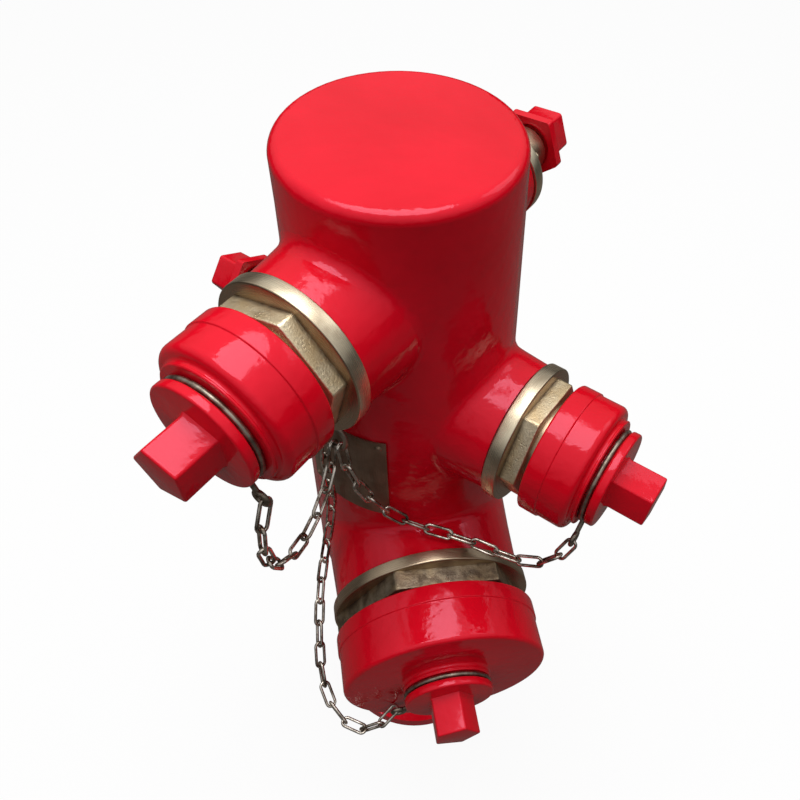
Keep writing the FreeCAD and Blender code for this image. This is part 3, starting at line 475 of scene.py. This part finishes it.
def finishPiece(bm, name, finish, body, matrix=None, sharp=40.0, grimeAndShade=None):
    # merged, outward, with the two axis distances kept for the tool lines, then put in place
    bmesh.ops.remove_doubles(bm, verts=bm.verts, dist=1e-6)
    bmesh.ops.recalc_face_normals(bm, faces=bm.faces)
    fromAxis = bm.verts.layers.float.new("fromAxis")
    alongAxis = bm.verts.layers.float.new("alongAxis")
    # a per-vertex darkening amount from the caller, mostly painted shade, read by the brass finishes
    grimeAndShadeLayer = bm.verts.layers.float.new("grimeAndShade")
    for vert in bm.verts:
        vert[fromAxis] = math.hypot(vert.co.x, vert.co.y)
        vert[alongAxis] = vert.co.z
        vert[grimeAndShadeLayer] = grimeAndShade(vert.co) if grimeAndShade else 0.0
    if matrix:
        bmesh.ops.transform(bm, matrix=matrix, verts=bm.verts)
    mesh = bpy.data.meshes.new(name)
    bm.to_mesh(mesh)
    bm.free()
    mesh.shade_smooth()
    mesh.set_sharp_from_angle(angle=math.radians(sharp))
    mesh.materials.append(finishes[finish])
    piece = bpy.data.objects.new(name, mesh)
    bpy.context.scene.collection.objects.link(piece)
    if body:
        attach(piece, body)
    return piece


# nozzles: turned body with a wrench hexagon and an outside hose thread

nozzleSizes = {
    "hose": {"seat": 0.080, "bore": 0.03175, "spigot": 0.043, "collarBack": 0.1106, "collar": 0.0574,
             "hexStart": 0.122, "hex": 0.051, "hexEnd": 0.1346, "thread": 0.03895, "end": 0.163,
             "pitch": 0.003387, "depth": 0.0018, "steps": 112},
    "pumper": {"seat": 0.092, "bore": 0.057, "spigot": 0.072, "collarBack": 0.1207, "collar": 0.0912,
               "hexStart": 0.1315, "hex": 0.090, "hexEnd": 0.1481, "thread": 0.07315, "end": 0.1795,
               "pitch": 0.00635, "depth": 0.0034, "steps": 144},
}


# the last value is the height over which painted shade fades up the hexagon from its foot
nozzleShared = {"sideRound": 0.0016, "topRound": 0.0012, "threadSteps": 72, "sunk": 0.0003,
                "crest": 0.22, "foot": 0.95, "footShade": 0.0035}


def threadRidge(bm, sizes):
    # one vee of the thread, wound up the nozzle in fine steps
    root = sizes["thread"] - sizes["depth"]
    half = sizes["pitch"] * 0.5
    turns = int((sizes["end"] - sizes["hexEnd"]) / sizes["pitch"] - 1.2)
    first = sizes["hexEnd"] + 0.8 * sizes["pitch"]
    steps = nozzleShared["threadSteps"]
    low = root - nozzleShared["sunk"]
    foot = half * nozzleShared["foot"]
    crest = half * nozzleShared["crest"]
    spots = [(low, -foot), (sizes["thread"], -crest), (sizes["thread"], crest), (low, foot)]
    row = [bm.verts.new((radius, 0.0, first + along)) for radius, along in spots]
    edges = [bm.edges.new(pair) for pair in zip(row, row[1:] + row[:1])]
    bm.faces.new(row)
    done = bmesh.ops.spin(bm, geom=row + edges, cent=(0, 0, 0), axis=(0, 0, 1),
                          dvec=(0, 0, sizes["pitch"] / steps), angle=math.tau * turns, steps=steps * turns)
    last = [item for item in done["geom_last"] if isinstance(item, bmesh.types.BMEdge)]
    bmesh.ops.contextual_create(bm, geom=last)


def makeNozzle(name, outlet):
    sizes = nozzleSizes[outlet["kind"]]
    root = sizes["thread"] - sizes["depth"]
    spot = axisMatrix(outlet)
    bm = bmesh.new()
    turnedShape(bm, [
        (sizes["bore"], sizes["seat"], 0.0008), (sizes["spigot"], sizes["seat"], 0.0008),
        (sizes["spigot"], sizes["collarBack"], 0), (sizes["collar"], sizes["collarBack"], 0.0008),
        (sizes["collar"], sizes["hexStart"], 0.0014), (root, sizes["hexStart"], 0),
        (root, sizes["end"], 0.0012), (sizes["bore"], sizes["end"], 0.0012)], sizes["steps"], True)
    threadRidge(bm, sizes)
    face = sizes["hexStart"] - 0.0006
    # darkening on the turned nozzle: the collar takes the outlet's painted shade, and the part from the
    # hexagon out is darkened to 0.85
    turned = finishPiece(bm, name + "_nozzle_turned", "turned_brass", "barrel", spot,
                         grimeAndShade=lambda spot: 0.85 if spot.z > face else outlet["brassShade"] * 0.8)
    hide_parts(name + "_nozzle")
    bm = bmesh.new()
    polygonPrism(bm, 6, sizes["hex"], outlet["hexTurn"], sizes["hexStart"], sizes["hexEnd"],
                 nozzleShared["sideRound"], nozzleShared["topRound"])
    # painted shade at the hexagon's foot, where it meets the collar, fading out over a few millimetres, on
    # top of the outlet's painted shade
    footShadeReach = nozzleShared["footShade"]
    around = [edge for edge in bm.edges if abs(edge.verts[0].co.z - edge.verts[1].co.z) > 0.004]
    bmesh.ops.subdivide_edges(bm, edges=around, cuts=6, use_grid_fill=True)
    finishPiece(bm, name + "_nozzle_hexagon", "cast_brass", "barrel", spot,
                grimeAndShade=lambda spot: max(outlet["brassShade"], 1.0 - (spot.z - sizes["hexStart"]) / footShadeReach))


# caps: spun casting with a stepped front, and a pentagon nut on its disc

capSizes = {
    "hose": {"rear": 0.140, "bore": 0.0393, "depth": 0.1683, "band": 0.0532, "bandEnd": 0.1553,
             "body": 0.0521, "front": 0.1789, "shoulder": 0.0055, "step": 0.0435, "stepEnd": 0.1834,
             "steps": 128},
    "pumper": {"rear": 0.1514, "bore": 0.0735, "depth": 0.1848, "band": 0.0914, "bandEnd": 0.166,
               "body": 0.0902, "front": 0.202, "shoulder": 0.004, "step": 0.0385, "stepEnd": 0.208,
               "steps": 160},
}
capShared = {"stepFoot": 0.0014, "groove": 0.034, "grooveLength": 0.0056, "disc": 0.0392,
             "discThickness": 0.0072, "discRound": 0.0018, "bead": 0.0006, "nut": 0.02106,
             "nutLength": 0.0315, "nutRound": 0.0015, "nutFlare": 0.0022, "sunk": 0.0002}


def makeCap(name, outlet):
    sizes = capSizes[outlet["kind"]]
    shared = capShared
    discBack = sizes["stepEnd"] + shared["grooveLength"]
    face = discBack + shared["discThickness"]
    middle = (sizes["front"] + sizes["stepEnd"]) / 2
    bm = bmesh.new()
    turnedShape(bm, [
        (0.0, sizes["depth"], 0), (sizes["bore"], sizes["depth"], 0.001),
        (sizes["bore"], sizes["rear"], 0.0012),
        (sizes["band"], sizes["rear"], 0.0016), (sizes["band"], sizes["bandEnd"], 0.0006),
        (sizes["body"], sizes["bandEnd"] + 0.0004, 0.0004),
        (sizes["body"], sizes["front"], sizes["shoulder"]),
        (sizes["step"] + shared["stepFoot"], sizes["front"], 0.0010),
        (sizes["step"], sizes["front"] + shared["stepFoot"], 0.0008),
        (sizes["step"], middle + 0.0002, 0), (sizes["step"] + shared["bead"], middle + 0.0006, 0.0003),
        (sizes["step"] + shared["bead"], middle + 0.0016, 0.0003), (sizes["step"], middle + 0.0020, 0),
        (sizes["step"], sizes["stepEnd"], 0.0009), (shared["groove"], sizes["stepEnd"], 0.0004),
        (shared["groove"], discBack, 0.0004), (shared["disc"], discBack, shared["discRound"]),
        (shared["disc"], face, shared["discRound"]), (0.0, face, 0)], sizes["steps"], roundSteps=6)
    nut = bmesh.new()
    polygonPrism(nut, 5, shared["nut"], outlet["nutTurn"], face - shared["sunk"],
                 face + shared["nutLength"], shared["nutRound"], shared["nutRound"], shared["nutFlare"])
    joinShape(bm, nut)
    piece = finishPiece(bm, name + "_cap_casting", "red_enamel", name + "_cap",
                        axisMatrix(outlet), 32.0)
    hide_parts(name + "_cap")


# cap rings: round wire with a straight tail and a loop for the chain

ringSizes = {"radius": 0.037, "wire": 0.002, "hang": 0.0007, "tail": 0.016, "loop": 0.0055}


def makeCapRing(name, outlet):
    sizes = ringSizes
    middle = capSizes[outlet["kind"]]["stepEnd"] + capShared["grooveLength"] / 2
    swing = math.radians(outlet["tailSwing"])
    heading = Vector((math.sin(swing), -math.cos(swing), 0))
    centre = Vector((0, -sizes["hang"], middle))
    tailEnd = centre + heading * (sizes["radius"] + sizes["tail"])
    bm = bmesh.new()
    wireHoop(bm, sizes["radius"], sizes["wire"], centre, Matrix.Identity(4), 96)
    wireHoop(bm, sizes["loop"], sizes["wire"], tailEnd + heading * sizes["loop"], Matrix.Identity(4), 32)
    wireRod(bm, centre + heading * sizes["radius"], tailEnd, sizes["wire"])
    piece = finishPiece(bm, name + "_ring_wire", "dark_steel", name + "_ring",
                        axisMatrix(outlet))
    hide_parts(name + "_cap_ring")


# stem end: brass insert in the boss, bare stem and red operating nut

stemSizes = {
    "hose": {"insertBack": 0.123, "nutBack": 0.172},
    "pumper": {"insertBack": 0.139, "nutBack": 0.188},
}
insertSizes = {"depth": 0.038, "spigot": 0.026, "collar": 0.037, "thickness": 0.0105, "hex": 0.027,
               "hexLength": 0.014, "neck": 0.0185, "neckLength": 0.022, "bore": 0.01275}
nutSizes = {"skirt": 0.030, "skirtLength": 0.008, "drive": 0.022, "driveLength": 0.024, "recess": 0.019,
            "recessDepth": 0.005, "recessSteps": 40, "round": 0.0022, "flare": 0.0016, "sunk": 0.0002,
            "skirtRound": 0.002, "shelfRound": 0.0012}


def makeInsert(name, outlet):
    sizes = insertSizes
    back = stemSizes[outlet["kind"]]["insertBack"]
    front = back + sizes["thickness"]
    end = front + sizes["hexLength"] + sizes["neckLength"]
    spot = axisMatrix(outlet, True)
    bm = bmesh.new()
    turnedShape(bm, [
        (sizes["bore"], back - sizes["depth"], 0), (sizes["spigot"], back - sizes["depth"], 0.001),
        (sizes["spigot"], back, 0), (sizes["collar"], back, 0.0008), (sizes["collar"], front, 0.0016),
        (sizes["neck"], front, 0), (sizes["neck"], end, 0.0018), (sizes["bore"], end, 0.0006)], 96, True)
    # the neck beyond the collar is darkened as painted shade in the gap under the operating nut
    turned = finishPiece(bm, name + "_insert_turned", "turned_brass", "barrel", spot,
                         grimeAndShade=lambda spot: 0.7 if spot.z > front - 0.0006 else 0.0)
    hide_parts(name + "_stem_insert")
    bm = bmesh.new()
    polygonPrism(bm, 6, sizes["hex"], 0.0, front, front + sizes["hexLength"], 0.001, 0.001)
    finishPiece(bm, name + "_insert_hexagon", "cast_brass", "barrel", spot)


def makeOperatingNut(name, outlet):
    sizes = nutSizes
    back = stemSizes[outlet["kind"]]["nutBack"]
    shelf = back + sizes["skirtLength"]
    bm = bmesh.new()
    polygonPrism(bm, 5, sizes["skirt"], outlet["operatingTurn"], back, shelf,
                 sizes["skirtRound"], sizes["shelfRound"])
    sole = min(bm.faces, key=lambda face: face.calc_center_median().z)
    rim = list(sole.edges)
    bmesh.ops.delete(bm, geom=[sole], context="FACES_ONLY")
    mouth = bmesh.ops.create_circle(bm, segments=sizes["recessSteps"], radius=sizes["recess"],
                                    matrix=Matrix.Translation((0, 0, back)))["verts"]
    lip = list({edge for vert in mouth for edge in vert.link_edges})
    bmesh.ops.bridge_loops(bm, edges=rim + lip)
    dug = bmesh.ops.extrude_edge_only(bm, edges=lip)["geom"]
    deep = [item for item in dug if isinstance(item, bmesh.types.BMVert)]
    bmesh.ops.translate(bm, verts=deep, vec=(0, 0, sizes["recessDepth"]))
    bmesh.ops.contextual_create(bm, geom=[item for item in dug if isinstance(item, bmesh.types.BMEdge)])
    drive = bmesh.new()
    polygonPrism(drive, 5, sizes["drive"], outlet["operatingTurn"], shelf - sizes["sunk"],
                 shelf + sizes["driveLength"], sizes["round"], sizes["round"], sizes["flare"])
    joinShape(bm, drive)
    piece = finishPiece(bm, name + "_operating_casting", "red_enamel", name + "_stem",
                        axisMatrix(outlet, True), 32.0)
    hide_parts(name + "_operating_nut")


# chains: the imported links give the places, smooth round-wire links take them

linkSizes = {"length": 0.027, "width": 0.011, "wire": 0.0014, "sides": 10, "bendSteps": 8}


def makeLinkMesh():
    sizes = linkSizes
    bend = sizes["width"] / 2 - sizes["wire"]
    straight = sizes["length"] / 2 - sizes["wire"] - bend
    bm = bmesh.new()
    spot = Matrix.Translation((straight, -bend, 0)) @ Matrix.Rotation(math.pi / 2, 4, "Y")
    made = bmesh.ops.create_circle(bm, segments=sizes["sides"], radius=sizes["wire"], matrix=spot)
    loop = made["verts"] + list({edge for vert in made["verts"] for edge in vert.link_edges})
    for side in (1, -1):
        turned = bmesh.ops.spin(bm, geom=loop, cent=(side * straight, 0, 0), axis=(0, 0, 1),
                                angle=math.pi, steps=sizes["bendSteps"])["geom_last"]
        edges = [item for item in turned if isinstance(item, bmesh.types.BMEdge)]
        pulled = bmesh.ops.extrude_edge_only(bm, edges=edges)["geom"]
        verts = [item for item in pulled if isinstance(item, bmesh.types.BMVert)]
        bmesh.ops.translate(bm, verts=verts, vec=(-2 * side * straight, 0, 0))
        loop = verts + [item for item in pulled if isinstance(item, bmesh.types.BMEdge)]
    bmesh.ops.remove_doubles(bm, verts=bm.verts, dist=1e-5)
    mesh = bpy.data.meshes.new("linkHolder")
    bm.to_mesh(mesh)
    bm.free()
    return mesh


def linkPlaces(node):
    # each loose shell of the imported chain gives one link's middle and its three axes
    shells = bmesh.new()
    shells.from_mesh(nodes[node].data)
    bmesh.ops.remove_doubles(shells, verts=shells.verts, dist=1e-6)
    seen = set()
    places = []
    for first in shells.verts:
        if first in seen:
            continue
        shell = [first]
        seen.add(first)
        for vert in shell:
            for edge in vert.link_edges:
                other = edge.other_vert(vert)
                if other not in seen:
                    seen.add(other)
                    shell.append(other)
        spots = np.array([vert.co for vert in shell])
        middle = spots.mean(0)
        spread = np.linalg.eigh(np.cov((spots - middle).T))[1]
        longWay = Vector(spread[:, 2])
        flatWay = Vector(spread[:, 0])
        turn = Matrix((longWay, flatWay.cross(longWay), flatWay)).transposed().to_4x4()
        places.append(Matrix.Translation(middle) @ turn)
    shells.free()
    return places


def makeChain(name, linkMesh):
    node = name + "_chain"
    places = linkPlaces(node)
    bm = bmesh.new()
    for spot in places:
        before = len(bm.verts)
        bm.from_mesh(linkMesh)
        bm.verts.ensure_lookup_table()
        bmesh.ops.transform(bm, matrix=spot, verts=bm.verts[before:])
    piece = finishPiece(bm, name + "_chain_links", "chain_steel", None, None, 60.0)
    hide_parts(node)
    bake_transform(piece)
    print(node, len(places), "links")


# anchor: the ring that carries the chains, in the eye on the barrel's wall

anchorSizes = {"azimuth": -44.5, "ring": 0.015, "wire": 0.002}


def makeAnchor():
    sizes = anchorSizes
    low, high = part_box("chain_anchor_ring")
    outward = headingOf(sizes["azimuth"])
    turn = outward.to_track_quat("Z", "Y").to_matrix().to_4x4()
    bm = bmesh.new()
    wireHoop(bm, sizes["ring"], sizes["wire"], (low + high) / 2, turn, 64)
    piece = finishPiece(bm, "anchor_ring_wire", "dark_steel", "barrel")
    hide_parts("chain_anchor_ring")


linkMesh = makeLinkMesh()
for name, outlet in outlets.items():
    makeNozzle(name, outlet)
    makeCap(name, outlet)
    makeCapRing(name, outlet)
    makeInsert(name, outlet)
    makeOperatingNut(name, outlet)
    makeChain(name, linkMesh)
    print(name, "outlet dressed")
bpy.data.meshes.remove(linkMesh)
makeAnchor()


# stage, light and camera

stageLook = {
    "half": 6.0, "ground": (0.08, 0.065, 0.055, 1.0), "paper": (0.90, 0.90, 0.90, 1.0),
    "cameraShare": 0.90, "mirrorShare": 0.05,
    "haze": 0.01, "horizon": 0.05, "zenith": 0.90, "edgeLow": 0.10, "edgeHigh": 0.20,
}


def makeFloor():
    look = stageLook
    bm = bmesh.new()
    bmesh.ops.create_grid(bm, x_segments=2, y_segments=2, size=look["half"])
    mesh = bpy.data.meshes.new("floor")
    bm.to_mesh(mesh)
    bm.free()
    floor = bpy.data.objects.new("floor", mesh)
    floor.location.z = solidBox[0][2] - 0.0005
    bpy.context.scene.collection.objects.link(floor)
    finish = bpy.data.materials.new("paleFloor")
    finish.use_nodes = True
    tree = finish.node_tree
    tree.nodes.remove(tree.nodes["Principled BSDF"])
    rays = place(tree, "ShaderNodeLightPath").outputs
    mirrored = maths(tree, "MAXIMUM", rays["Is Glossy Ray"], rays["Is Transmission Ray"])
    share = maths(tree, "ADD", maths(tree, "MULTIPLY", rays["Is Camera Ray"], look["cameraShare"]),
                  maths(tree, "MULTIPLY", mirrored, look["mirrorShare"]))
    colour = mixColour(tree, rays["Is Camera Ray"], look["ground"], look["paper"])
    flat = place(tree, "ShaderNodeBsdfDiffuse", None, {"Color": colour})
    glow = place(tree, "ShaderNodeEmission", None, {"Color": (1, 1, 1, 1), "Strength": 1.0})
    both = place(tree, "ShaderNodeMixShader", None, {"Fac": share, 1: flat.outputs[0], 2: glow.outputs[0]})
    tree.links.new(both.outputs[0], tree.nodes["Material Output"].inputs["Surface"])
    mesh.materials.append(finish)


lampLooks = {
    "overhead": {"spot": (-0.1, 0.2, 2.6), "aim": (0, 0, 0.5), "size": 1.6, "power": 27.0},
    "right": {"spot": (1.6, 0.5, 2.2), "aim": (0, 0, 0.45), "size": 1.2, "power": 4.0},
}


def makeLamps():
    for name, look in lampLooks.items():
        lamp = bpy.data.lights.new(name, "AREA")
        lamp.shape = "DISK"
        lamp.size = look["size"]
        lamp.energy = look["power"]
        holder = bpy.data.objects.new(name, lamp)
        holder.location = look["spot"]
        aim = Vector(look["aim"]) - Vector(look["spot"])
        holder.rotation_euler = aim.to_track_quat("-Z", "Y").to_euler()
        bpy.context.scene.collection.objects.link(holder)


def makeSky():
    # a pale sky, brightest overhead, above a dim horizon, and white where the camera sees it
    look = stageLook
    world = bpy.data.worlds.new("studio")
    bpy.context.scene.world = world
    world.use_nodes = True
    tree = world.node_tree
    ways = place(tree, "ShaderNodeTexCoord").outputs["Generated"]
    height = place(tree, "ShaderNodeSeparateXYZ", None, {"Vector": ways}).outputs["Z"]
    edge = mapped(tree, height, 0.0, 1.0, look["edgeLow"], look["edgeHigh"])
    rise = maths(tree, "ADD", maths(tree, "MULTIPLY", height, look["zenith"]), look["horizon"])
    dome = maths(tree, "ADD", maths(tree, "MULTIPLY", rise, edge), look["haze"])
    seen = place(tree, "ShaderNodeLightPath").outputs["Is Camera Ray"]
    tree.links.new(maths(tree, "MAXIMUM", dome, seen), tree.nodes["Background"].inputs["Strength"])
    tree.nodes["Background"].inputs["Color"].default_value = (1, 1, 1, 1)


cameraLook = {"spot": (-0.0532, -0.4108, 1.110), "heading": (0.2301, 0.9732), "pitch": 54.17, "roll": 3.01,
              "lens": 33.08, "shiftX": -0.0675, "shiftY": 0.06}


def makeCamera():
    look = cameraLook
    pitch = math.radians(look["pitch"])
    roll = math.radians(look["roll"])
    across, away = look["heading"]
    ahead = Vector((across * math.cos(pitch), away * math.cos(pitch), -math.sin(pitch))).normalized()
    level = Vector((away, -across, 0)).normalized()
    upright = level.cross(ahead)
    right = level * math.cos(roll) + upright * math.sin(roll)
    top = right.cross(ahead)
    eye = bpy.data.cameras.new("photoCamera")
    eye.sensor_width = 36.0
    eye.lens = look["lens"]
    eye.shift_x = look["shiftX"]
    eye.shift_y = look["shiftY"]
    eye.clip_start = 0.01
    holder = bpy.data.objects.new("photoCamera", eye)
    turn = Matrix((right, top, -ahead)).transposed().to_4x4()
    holder.matrix_world = Matrix.Translation(look["spot"]) @ turn
    bpy.context.scene.collection.objects.link(holder)
    bpy.context.scene.camera = holder


makeFloor()
makeLamps()
makeSky()
makeCamera()
bpy.context.scene.view_settings.view_transform = "Standard"
print("stage, light and camera set")
